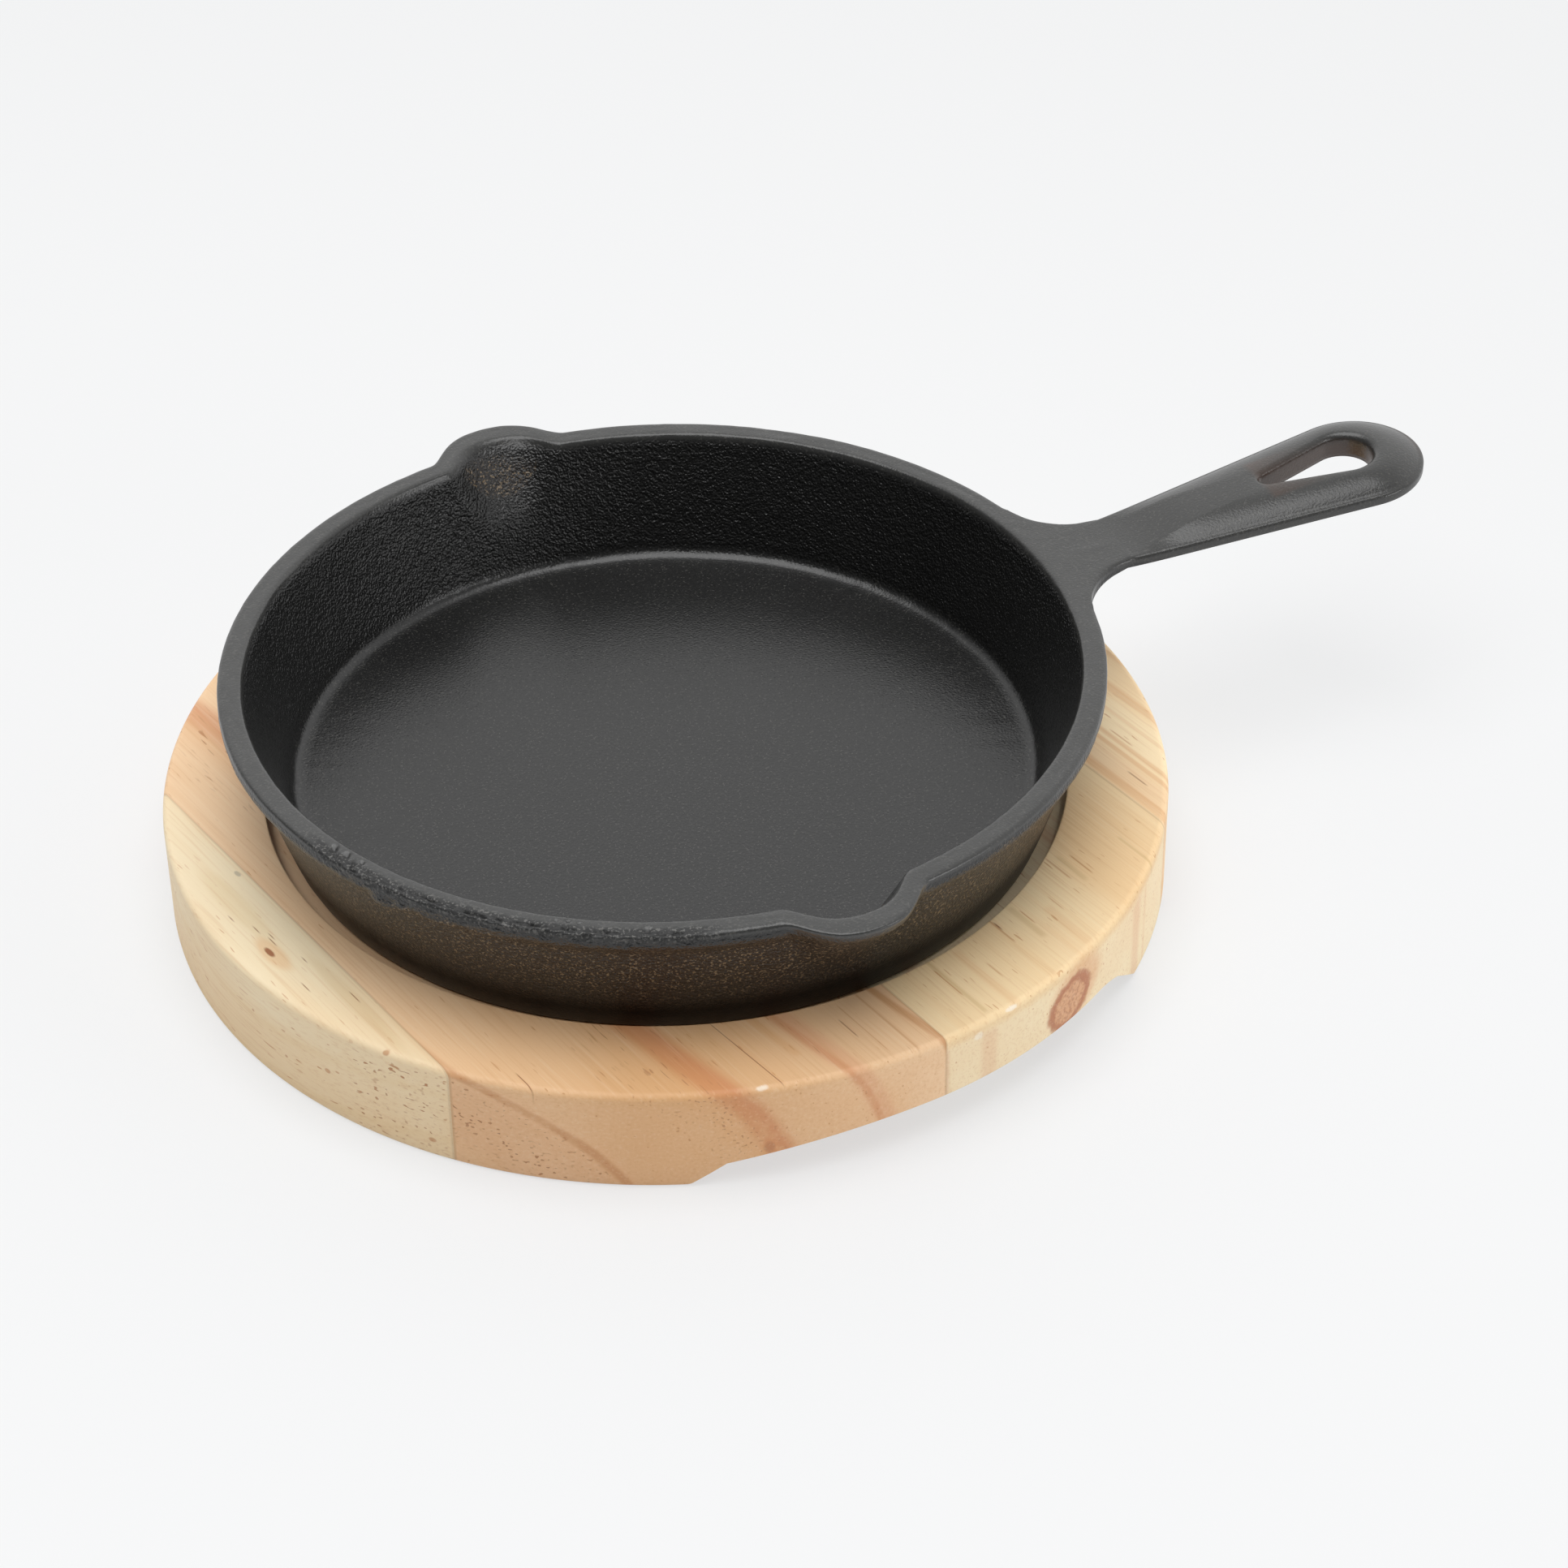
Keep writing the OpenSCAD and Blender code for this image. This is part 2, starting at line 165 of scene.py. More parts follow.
# One section through the wall at angle a, from the middle of the floor's underside, round
# the rim, to the middle of the cooking floor; every section has the same number of points
def wall_section(a):
    def split(p, q, steps):
        return [lerp(np.array(p, float), np.array(q, float), i / steps) for i in range(1, steps + 1)]

    cos_lean = math.cos(math.radians(LEAN_ANGLE))
    foot_arc = arc([FOOT_R - FOOT_ROUND * (1 - math.sin(math.radians(LEAN_ANGLE))) / cos_lean,
                    FOOT_ROUND], FOOT_ROUND, -90, -LEAN_ANGLE, 6)
    ledge = np.array([outer_r(LEDGE_Z), LEDGE_Z])
    outer = [np.array([0.0, 0.0])]
    outer += split([0, 0], [MIDDLE_R, 0], 2) + split([MIDDLE_R, 0], foot_arc[0], 5) + foot_arc[1:]
    outer += split(foot_arc[-1], ledge, 20)
    in_neck = abs(a) < ROOT_ANGLE + 2
    under_z = PAN_H - HANDLE_T
    mid = ledge + LEDGE_BLEND
    under_r = max(mid[0], neck_reach(a, DRAFT, under_z)) if in_neck else mid[0]
    under = [under_r, lerp(mid[1], under_z, min(1, (under_r - mid[0]) / DRAFT))]
    band_r = max(RIM_R, neck_reach(a, 0, PAN_H))
    band_z = PAN_H - lerp(BAND_H, HANDLE_EDGE, (band_r - RIM_R) / (NECK_END - RIM_R))
    edge = []
    for i in range(7):
        e = math.radians(90 * i / 6)
        inset = RIM_ROUND * (1 - math.cos(e))
        edge.append(np.array([max(RIM_R - inset, neck_reach(a, inset, PAN_H)),
                              PAN_H - RIM_ROUND * (1 - math.sin(e))]))
    lip_z = PAN_H - RIM_ROUND
    lip_arc = arc([inner_r(lip_z) + RIM_ROUND / cos_lean, lip_z], RIM_ROUND, 90, 180 - LEAN_ANGLE, 6)
    raised = split(ledge, under, 4) + split(under, [band_r, band_z], 4)
    raised += split([band_r, band_z], edge[0], 6) + edge[1:]
    raised += split(edge[-1], lip_arc[0], 10)
    outer += [p + np.array([0, rise(p[0] * math.cos(math.radians(a)))]) for p in raised[:-1]]
    fillet_z = FLOOR_T + FLOOR_FILLET
    fillet_arc = arc([inner_r(fillet_z) - FLOOR_FILLET / cos_lean, fillet_z],
                     FLOOR_FILLET, -LEAN_ANGLE, -90, 8)
    inner = lip_arc + split(lip_arc[-1], fillet_arc[0], 22) + fillet_arc[1:]
    inner += split(fillet_arc[-1], [MIDDLE_R, FLOOR_T], 5)
    inner += split([MIDDLE_R, FLOOR_T], [0, FLOOR_T], 2)
    for middle in (SPOUT_ANGLE, SPOUT_ANGLE - 180):
        if abs(a - middle) > 14:
            continue
        s = RIM_R * math.sin(math.radians(a - middle))
        outer = [p + [push(s, PAN_H - p[1], SPOUT_OUT, SPOUT_W, SPOUT_DROP), 0] for p in outer]
        inner = [p + [push(s, PAN_H - p[1], GROOVE_DEPTH, GROOVE_W, GROOVE_DROP), 0] for p in inner]
    section = np.array(outer + inner)
    for _ in range(SOFTENINGS):
        soft = section.copy()
        soft[1:-1] = (section[:-2] + 2 * section[1:-1] + section[2:]) / 4
        soft[:3], soft[-3:] = section[:3], section[-3:]
        section = soft
    return section


def wall_angles():
    angles, a = [], -180.0
    while a < 180 - 0.01:
        angles.append(a)
        near_spout = min(abs(a - SPOUT_ANGLE), abs(a - SPOUT_ANGLE + 180)) < 12.5
        fine = FLAW_FROM < a < FLAW_TO
        a += 0.3 if fine else 0.5 if near_spout or abs(a) < 15 else 0.8
    return np.array(angles)


# A smooth random field over angle and section, the same every run
def random_field(rng, angles, rows, span_deg, span_rows):
    wide = int(360 / span_deg) + 3
    tall = int(rows / span_rows) + 3
    grid = rng.normal(size=(wide, tall))
    grid[-2:] = grid[:2]
    u = (angles + 180) / 360 * (wide - 2)
    v = np.arange(rows) / span_rows
    i, j = u.astype(int), v.astype(int)
    fu, fv = (u - i)[:, None], (v - j)[None, :]
    fu, fv = fu * fu * (3 - 2 * fu), fv * fv * (3 - 2 * fv)
    g = grid
    near = g[i][:, j] * (1 - fu) + g[i + 1][:, j] * fu
    far = g[i][:, j + 1] * (1 - fu) + g[i + 1][:, j + 1] * fu
    return near * (1 - fv) + far * fv


def mesh_object(name, points, faces):
    mesh = bpy.data.meshes.new(name)
    mesh.from_pydata([tuple(p) for p in np.asarray(points) * MM], [], faces)
    mesh.validate()
    mesh.update()
    made = bpy.data.objects.new(name, mesh)
    bpy.context.scene.collection.objects.link(made)
    return made


# The pan with both spouts and the root of the neck, as one closed skin
def pan_skin():
    angles = wall_angles()
    sections = np.array([wall_section(a) for a in angles])
    columns, rows = len(angles), sections.shape[1]
    radians = np.radians(angles)[:, None]
    sections = cast_flaws(sections, angles)
    r, z = sections[:, :, 0], sections[:, :, 1]
    points = np.stack([r * np.cos(radians), r * np.sin(radians), z + FOOT_Z], axis=2)
    inner_points = points[:, 1:-1].reshape(-1, 3)
    inside = rows - 2
    poles = [[0, 0, FOOT_Z], [0, 0, FOOT_Z + FLOOR_T]]
    low, high = columns * inside, columns * inside + 1
    faces = []
    for i in range(columns):
        k = (i + 1) % columns
        faces.append((low, k * inside, i * inside))
        faces.append((high, i * inside + inside - 1, k * inside + inside - 1))
        for j in range(inside - 1):
            faces.append((i * inside + j, k * inside + j, k * inside + j + 1, i * inside + j + 1))
    return mesh_object("pan", np.vstack([inner_points, poles]), faces)


# Pits, a crack and a lump along the flawed stretch of the rim, as [degrees, ...] from the handle
PITS = [(-158.4, 77.6, 0.9, 0.8), (-157.2, 78.6, 0.6, 0.5), (-156.2, 77.4, 0.8, 0.7),
        (-154.9, 78.2, 0.7, 0.6), (-153.6, 77.2, 0.6, 0.5), (-151.8, 78.6, 0.4, 0.35),
        (-149.2, 79.0, 0.4, 0.3), (-146.6, 78.8, 0.4, 0.3), (-143.0, 79.1, 0.4, 0.3),
        (-139.2, 78.9, 0.35, 0.3), (-125.8, 77.2, 0.4, 0.35), (-124.3, 76.9, 0.45, 0.4),
        (-122.9, 77.3, 0.35, 0.3), (-114.4, 78.3, 0.8, 0.7), (-112.9, 78.9, 0.5, 0.45),
        (-110.6, 77.9, 0.3, 0.25)]
CRACK_FROM, CRACK_TO, CRACK_R = -152.0, -108.0, 78.9
LUMPS = [(-149.0, 23.6, 2.3, 1.7, 1.0), (-146.0, 24.6, 1.6, 0.9, 0.5), (-141.0, 24.5, 3.0, 0.7, 0.35),
         (-134.0, 24.4, 3.5, 0.6, 0.25)]


def cast_flaws(sections, angles):
    rng = np.random.default_rng(17)
    rows = sections.shape[1]
    r, z = sections[:, :, 0], sections[:, :, 1]
    degrees = angles[:, None]
    along = np.gradient(sections, axis=1)
    normal = np.stack([along[:, :, 1], -along[:, :, 0]], axis=2)
    normal /= np.maximum(np.linalg.norm(normal, axis=2, keepdims=True), 1e-9)
    move = random_field(rng, angles, rows, 1.3, 3) * 0.02 + random_field(rng, angles, rows, 6, 9) * 0.03
    beyond_floor = (r > FOOT_R - 10).astype(float)
    rim = z > PAN_H - BAND_H - 0.5
    flawed = np.clip((degrees - FLAW_FROM) / 4, 0, 1) * np.clip((FLAW_TO - degrees) / 4, 0, 1)
    outer_edge = np.exp(-(((r - 79.0) / 1.1) ** 2)) * rim
    rough = random_field(rng, angles, rows, 0.6, 2) * 0.13
    rough = rough - np.abs(random_field(rng, angles, rows, 0.9, 2)) * 0.2
    move = move + rough * outer_edge * flawed
    for at, pit_r, radius, depth in PITS:
        away = (((degrees - at) * math.radians(RIM_R)) ** 2 + (r - pit_r) ** 2) / radius ** 2
        move = move - depth * np.exp(-away * 1.4) * (z > PAN_H - 1.6)
    wander = random_field(rng, angles, rows, 2.2, 400)[:, :1] * 0.22
    open_here = np.clip(random_field(rng, angles, rows, 1.1, 400)[:, :1] + 0.9, 0, 1.3)
    ends = np.clip((degrees - CRACK_FROM) / 5, 0, 1) * np.clip((CRACK_TO - degrees) / 3, 0, 1)
    groove = np.exp(-(((r - CRACK_R - wander) / 0.28) ** 2)) * (z > PAN_H - 1.2)
    move = move - 0.5 * groove * open_here * ends
    for at, lump_z, half_angle, half_height, height in LUMPS:
        away = ((degrees - at) / half_angle) ** 2 + ((z - lump_z) / half_height) ** 2
        move = move + height * np.clip(1.25 - away, 0, 1) * (r > outer_r(z) - 1)
    return sections + normal * (move * beyond_floor)[:, :, None]


# The handle is one skin wound from the eye over the top, the edge and the underside, and back
def handle_side(inset, start_u, side_steps, end_steps):
    n = unit(EDGE_ANGLE + 90)
    tangent = NECK_CENTRE - (NECK_FILLET + inset) * n
    start = tangent + unit(EDGE_ANGLE) * (start_u - tangent[0]) / math.cos(math.radians(EDGE_ANGLE))
    tip_r = END_R - inset
    stop = np.array([END_U, 0]) + tip_r * n
    line = [lerp(start, stop, i / side_steps) for i in range(side_steps)]
    return line + arc([END_U, 0], tip_r, EDGE_ANGLE + 90, 0, end_steps)


def eye_side(outset, side_steps, end_steps):
    n = unit(EYE_EDGE_ANGLE + 90)
    start = np.array([EYE_TIP_U, 0]) + (EYE_TIP_R + outset) * n
    stop = np.array([EYE_U, 0]) + (EYE_R + outset) * n
    line = [lerp(start, stop, i / side_steps) for i in range(side_steps)]
    return line + arc([EYE_U, 0], EYE_R + outset, EYE_EDGE_ANGLE + 90, 0, end_steps)


def handle_skin():
    root_steps, side_steps, end_steps = 14, 34, 30
    flush = 0.02
    start_u = RIM_R + HANDLE_START

    def closed(root, side):
        back = [p * [1, -1] for p in side[-2::-1]]
        return np.array(root[1:-1] + side + back)

    def outline(inset):
        side = handle_side(inset, start_u, side_steps, end_steps)
        w = side[0][1]
        root = [np.array([start_u, w * (2 * i / root_steps - 1)]) for i in range(root_steps + 1)]
        return closed(root, side)

    def eye(outset):
        root = arc([EYE_TIP_U, 0], EYE_TIP_R + outset, 270 - EYE_EDGE_ANGLE, 90 + EYE_EDGE_ANGLE,
                   root_steps)
        return closed(root, eye_side(outset, side_steps, end_steps))

    def level(t):
        return t * t * (3 - 2 * t)

    def lifted(ring, z):
        heights = np.array([rise(p[0]) for p in ring]) + z
        return np.column_stack([ring, heights])

    top = PAN_H - 2 * flush
    rings = []
    outer, inner = outline(RIM_ROUND + flush), eye(EYE_ROUND)
    face_steps, round_steps = 16, 6
    for i in range(face_steps, 0, -1):
        t = i / face_steps
        ring = lerp(outer, inner, t)
        swell = CROWN * t * (2 - t) * level(np.clip((ring[:, 0] - NECK_END) / END_R, 0, 1))
        rings.append(lifted(ring, top + swell))
    for i in range(round_steps + 1):
        e = math.radians(90 * i / round_steps)
        ring = outline(RIM_ROUND * (1 - math.sin(e)) + flush)
        rings.append(lifted(ring, top - RIM_ROUND * (1 - math.cos(e))))
    for i in range(1, 4):
        rings.append(lifted(outline(flush), top - lerp(RIM_ROUND, HANDLE_EDGE, i / 3)))
    for i in range(1, 5):
        rings.append(lifted(outline(lerp(0, DRAFT, i / 4) + flush),
                            lerp(top - HANDLE_EDGE, PAN_H - HANDLE_T + flush, i / 4)))
    low_outer, low_inner = outline(DRAFT + flush), eye(0)
    for i in range(1, face_steps):
        rings.append(lifted(lerp(low_outer, low_inner, i / (face_steps - 1)), PAN_H - HANDLE_T + flush))
    for i in range(1, 5):
        rings.append(lifted(low_inner, lerp(PAN_H - HANDLE_T, top + CROWN - EYE_ROUND, i / 5)))
    for i in range(round_steps):
        e = math.radians(90 * i / round_steps)
        rings.append(lifted(eye(EYE_ROUND * (1 - math.cos(e))), top + CROWN - EYE_ROUND * (1 - math.sin(e))))
    n = len(rings[0])
    points = np.vstack(rings) + [0, 0, FOOT_Z]
    faces = []
    for i in range(len(rings)):
        below = (i + 1) % len(rings)
        for j in range(n):
            k = (j + 1) % n
            faces.append((i * n + j, i * n + k, below * n + k, below * n + j))
    return mesh_object("handle", points, faces)


def boolean(base, tool, operation):
    step = base.modifiers.new(operation, "BOOLEAN")
    step.operation = operation
    step.solver = "EXACT"
    step.object = tool
    graph = bpy.context.evaluated_depsgraph_get()
    result = bpy.data.meshes.new_from_object(base.evaluated_get(graph))
    base.modifiers.clear()
    base.data = result
    bpy.data.objects.remove(tool)
    return base


def outward(made):
    work = bmesh.new()
    work.from_mesh(made.data)
    bmesh.ops.recalc_face_normals(work, faces=work.faces)
    work.to_mesh(made.data)
    work.free()
    return made


def make_skillet():
    skillet = boolean(outward(pan_skin()), outward(handle_skin()), "UNION")
    skillet.name = "skillet_cast"
    skillet.data.shade_smooth()
    return skillet


# A point this far beside each round keeps the flat faces flat where they are shaded
BESIDE = 0.15
BOARD_COLUMNS = 720


# The board as turned, with its recess, before it is cut into its four strips
def board_blank():
    half = [(0.0, 0.0), (30.0, 0.0), (60.0, 0.0), (BASE_R - LOW_ROUND - BESIDE, 0.0)]
    half += arc([BASE_R - LOW_ROUND, LOW_ROUND], LOW_ROUND, -90, 0, 6)
    half += [(BASE_R, LOW_ROUND + BESIDE), (BASE_R, BASE_T - TOP_ROUND - BESIDE)]
    half += arc([BASE_R - TOP_ROUND, BASE_T - TOP_ROUND], TOP_ROUND, 0, 90, 10)
    half += [(BASE_R - TOP_ROUND - BESIDE, BASE_T), (RECESS_R + RECESS_ROUND + BESIDE, BASE_T)]
    half += arc([RECESS_R + RECESS_ROUND, BASE_T - RECESS_ROUND], RECESS_ROUND, 90, 180, 3)
    half += [(RECESS_R, BASE_T - RECESS_ROUND - BESIDE), (RECESS_R, FOOT_Z + 0.1), (RECESS_R - 0.1, FOOT_Z)]
    half += [(60.0, FOOT_Z), (30.0, FOOT_Z), (0.0, FOOT_Z)]
    inside = len(half) - 2
    points, faces = [], []
    for i in range(BOARD_COLUMNS):
        c, s = unit(360 * i / BOARD_COLUMNS)
        points += [[p[0] * c, p[0] * s, p[1]] for p in half[1:-1]]
    points += [[0, 0, 0], [0, 0, FOOT_Z]]
    low, high = BOARD_COLUMNS * inside, BOARD_COLUMNS * inside + 1
    for i in range(BOARD_COLUMNS):
        k = (i + 1) % BOARD_COLUMNS
        faces.append((low, k * inside, i * inside))
        faces.append((high, i * inside + inside - 1, k * inside + inside - 1))
        for j in range(inside - 1):
            faces.append((i * inside + j, k * inside + j, k * inside + j + 1, i * inside + j + 1))
    return outward(mesh_object("board", points, faces))


def turned(x, y):
    c, s = unit(BASE_TURN)
    return c * x - s * y, s * x + c * y


# A straight prism along the grain, from a closed section of [across, height] points
def prism(name, section, half_length):
    points, n = [], len(section)
    for y in (-half_length, half_length):
        for x, z in section:
            points.append([*turned(x, y), z])
    faces = [tuple(range(n)), tuple(range(2 * n - 1, n - 1, -1))]
    faces += [(j, (j + 1) % n, n + (j + 1) % n, n + j) for j in range(n)]
    return outward(mesh_object(name, points, faces))


def channel_section():
    flank = math.tan(math.radians(FLANK_ANGLE))
    rear, front = -CHANNEL_W / 2, CHANNEL_W / 2
    rear_top, front_top = rear + REAR_FLANK_H / flank, front - HANDLE_FLANK_H / flank

    def eased(flank_h, t):
        return CHANNEL_H - (CHANNEL_H - flank_h) * (1 - t) ** 2

    points = [(rear - 1 / flank, -1)]
    points += [(rear_top + REAR_EASE * i / 16, eased(REAR_FLANK_H, i / 16)) for i in range(17)]
    points += [(front_top - HANDLE_EASE * i / 16, eased(HANDLE_FLANK_H, i / 16)) for i in range(16, -1, -1)]
    points += [(front + 1 / flank, -1)]
    return [(x + CHANNEL_OFFSET, z) for x, z in points]


def make_strip(name, start, stop):
    strip = board_blank()
    slab = [(start, -1), (stop, -1), (stop, BASE_T + 1), (start, BASE_T + 1)]
    strip = boolean(strip, prism("slab", slab, BASE_R + 4), "INTERSECT")
    if start < CHANNEL_W / 2 and stop > -CHANNEL_W / 2:
        strip = boolean(strip, prism("channel", channel_section(), BASE_R + 4), "DIFFERENCE")
    strip.name = name
    strip.data.shade_smooth()
    strip.data.set_sharp_from_angle(angle=math.radians(28))
    return strip


# A value in a finish; arithmetic on it adds Math nodes
class Value:
    def __init__(self, finish, socket):
        self.finish, self.socket = finish, socket

    def __getitem__(self, name):
        return Value(self.finish, self.socket.node.outputs[name])

    def math(self, operation, *others):
        sockets = dict(enumerate((self,) + others))
        return self.finish.add("ShaderNodeMath", {"operation": operation}, sockets)

    def __add__(self, other):
        return self.math("ADD", other)

    def __sub__(self, other):
        return self.math("SUBTRACT", other)

    def __mul__(self, other):
        return self.math("MULTIPLY", other)

    def __truediv__(self, other):
        return self.math("DIVIDE", other)

    __radd__ = __add__
    __rmul__ = __mul__

    def __rsub__(self, other):
        return self.finish.number(other).math("SUBTRACT", self)

    def __abs__(self):
        return self.math("ABSOLUTE")

    # 0 below low, 1 above high, smooth between; low may be the larger
    def band(self, low, high):
        return self.finish.add("ShaderNodeMapRange", {"interpolation_type": "SMOOTHSTEP"},
                               {"Value": self, "From Min": low, "From Max": high})

    # 1 at the middle, falling off to 0 at half a width from it
    def hump(self, middle, half):
        return abs(self - middle).band(half, half * 0.25)

    # 1 between low and high, with soft ends
    def between(self, low, high, soft):
        return self.band(low - soft, low + soft) * self.band(high + soft, high - soft)


# The nodes of a material or of the world
class Finish:
    def __init__(self, owner):
        owner.use_nodes = True
        self.owner, self.tree = owner, owner.node_tree
        self.tree.nodes.clear()

    def add(self, kind, settings=None, sockets=None):
        node = self.tree.nodes.new(kind)
        for key, value in (settings or {}).items():
            setattr(node, key, value)
        for key, value in (sockets or {}).items():
            if isinstance(value, Value):
                self.tree.links.new(value.socket, node.inputs[key])
            else:
                node.inputs[key].default_value = value
        return Value(self, next(o for o in node.outputs if o.enabled) if node.outputs else None)

    def number(self, value):
        return self.add("ShaderNodeMath", {"operation": "ADD"}, {0: value, 1: 0.0})

    def vector(self, operation, *args, **named):
        sockets = dict(enumerate(args))
        sockets.update(named)
        return self.add("ShaderNodeVectorMath", {"operation": operation}, sockets)

    def combine(self, x, y, z):
        return self.add("ShaderNodeCombineXYZ", {}, {"X": x, "Y": y, "Z": z})

    def split(self, vector):
        parts = self.add("ShaderNodeSeparateXYZ", {}, {"Vector": vector})
        return parts["X"], parts["Y"], parts["Z"]

    # The place on the object, in millimetres
    def place(self):
        return self.vector("SCALE", self.add("ShaderNodeTexCoord")["Object"], Scale=1 / MM)

    def noise(self, at, scale, detail=3.0, rough=0.5):
        return self.add("ShaderNodeTexNoise", {"noise_dimensions": "3D"},
                        {"Vector": at, "Scale": scale, "Detail": detail, "Roughness": rough})

    def mix(self, factor, a, b):
        node = self.tree.nodes.new("ShaderNodeMix")
        node.data_type = "RGBA"
        for index, value in ((0, factor), (6, a), (7, b)):
            if isinstance(value, Value):
                self.tree.links.new(value.socket, node.inputs[index])
            else:
                node.inputs[index].default_value = (*value, 1) if index else value
        return Value(self, node.outputs[2])

    def bump(self, height, distance, under=None):
        sockets = {"Height": height, "Distance": distance}
        if under is not None:
            sockets["Normal"] = under
        return self.add("ShaderNodeBump", {}, sockets)

    def surface(self, tone, roughness, normal=None, **constants):
        sockets = {"Base Color": tone, "Roughness": roughness}
        sockets.update({key.replace("_", " "): value for key, value in constants.items()})
        if normal is not None:
            sockets["Normal"] = normal
        shader = self.add("ShaderNodeBsdfPrincipled", {}, sockets)
        self.add("ShaderNodeOutputMaterial", {}, {"Surface": shader})
        return self.owner


def srgb(r, g, b):
    def linear(v):
        v /= 255
        return v / 12.92 if v <= 0.04045 else ((v + 0.055) / 1.055) ** 2.4
    return (linear(r), linear(g), linear(b))


IRON_IOR = 1.6
IRON_RELIEF = 0.36


# Seasoned cast iron: coarse sand grain on the walls, finer on floor, rim and handle; outside under
# the band a painted brown reflection of the wood with painted glints, fading to painted shade towards the
# foot; the top faces lighter, as rubbed iron with a painted sheen; porous along the flawed rim
def cast_iron():
    f = Finish(bpy.data.materials.new("cast_iron"))
    place = f.place()
    x, y, z = f.split(place)
    r = (x * x + y * y).math("SQRT")
    height = z - FOOT_Z
    azimuth = y.math("ARCTAN2", x) * math.degrees(1)
    speck = f.noise(place, 2.1, 1.0, 0.5)
    grain = f.noise(place, 2.3, 1.0, 0.5)
    coarse = f.noise(place, 1.15, 1.0, 0.5)
    broad = f.noise(place, 0.06, 2.0, 0.5)
    outside = (r - height * LEAN).band(FOOT_R - 1.5, FOOT_R - 0.9) * x.band(92, 88)
    skirt = outside * (height + (broad - 0.5) * 6).band(26.0, 23.6)
    wall = height.band(5.0, 8.0) * height.band(27.2, 25.8) * x.band(92, 86)
    porous = (azimuth.between(FLAW_FROM, FLAW_TO, 3) * r.between(77.7, 80.0, 0.5)
              * height.band(26.2, 27.2))
    tone = f.mix(broad, srgb(5, 5, 5), srgb(10, 10, 9))
    # Painted reflection: the outside under the band is painted brown for the wood it mirrors, fading towards
    # the foot into the black base tone as painted shade
    tone = f.mix(skirt * height.band(8.0, 20.0) * 0.5, tone, srgb(24, 15, 8))
    # The top faces are lighter: rubbed iron, and in part a painted sheen standing in for their bright
    # reflection
    tone = f.mix(height.band(26.6, 27.4) * (1 - porous), tone, srgb(50, 50, 49))
    tone = f.mix((1 - wall) * (1 - skirt) * speck.band(0.58, 0.70) * 0.14, tone, srgb(128, 126, 120))
    # Painted glints: light brown-grey specks on the outside under the band stand in for sand grains catching
    # the lamp
    tone = f.mix(skirt * height.band(4.0, 16.0) * speck.band(0.56, 0.68) * 0.5, tone, srgb(150, 128, 98))
    tone = f.mix(porous * speck.band(0.52, 0.60) * 0.28, tone, srgb(150, 148, 144))
    tone = f.mix(porous * grain.band(0.50, 0.40) * 0.9, tone, srgb(2, 2, 2))
    crack = (azimuth.between(CRACK_FROM, CRACK_TO, 2) * height.band(26.2, 27.2)
             * (r + (grain - 0.5) * 0.8).hump(CRACK_R, 0.5) * coarse.band(0.36, 0.46))
    tone = f.mix(crack * 0.9, tone, srgb(2, 2, 2))
    for at, pit_r, radius, depth in PITS[:8] + PITS[11:15]:
        pit_x, pit_y = pit_r * unit(at)
        away = (x - pit_x) * (x - pit_x) + (y - pit_y) * (y - pit_y)
        tone = f.mix(away.band(radius * radius, 0.0) * height.band(26.5, 27.0) * 0.9, tone, srgb(2, 2, 2))
    # Painted reflection and rust: the lower inner wall of the eye is painted light brown, partly rust and
    # partly painted bounce light from the ground it faces; the handle's end gets a rust tint
    in_eye = x.between(EYE_TIP_U - 2, EYE_U + EYE_R + 1.5, 0.8) * abs(y).band(EYE_R + 1.2, EYE_R - 0.2)
    rust_and_bounce_light = (in_eye * height.band(34.5, 32.0)) + x.band(HANDLE_REACH - 3, HANDLE_REACH) * 0.4
    tone = f.mix(rust_and_bounce_light * 0.7, tone, srgb(74, 52, 40))
    relief = coarse * (0.03 + wall * 0.55) + grain * (0.13 + wall * 0.42)
    normal = f.bump(relief, IRON_RELIEF * MM)
    cooking_floor = height.band(6.5, 5.2) * r.band(68.0, 66.0)
    roughness = (0.27 + 0.06 * broad + 0.03 * wall + 0.30 * porous + 0.12 * skirt
                 - 0.04 * cooking_floor)
    return f.surface(tone, roughness, normal, IOR=IRON_IOR)


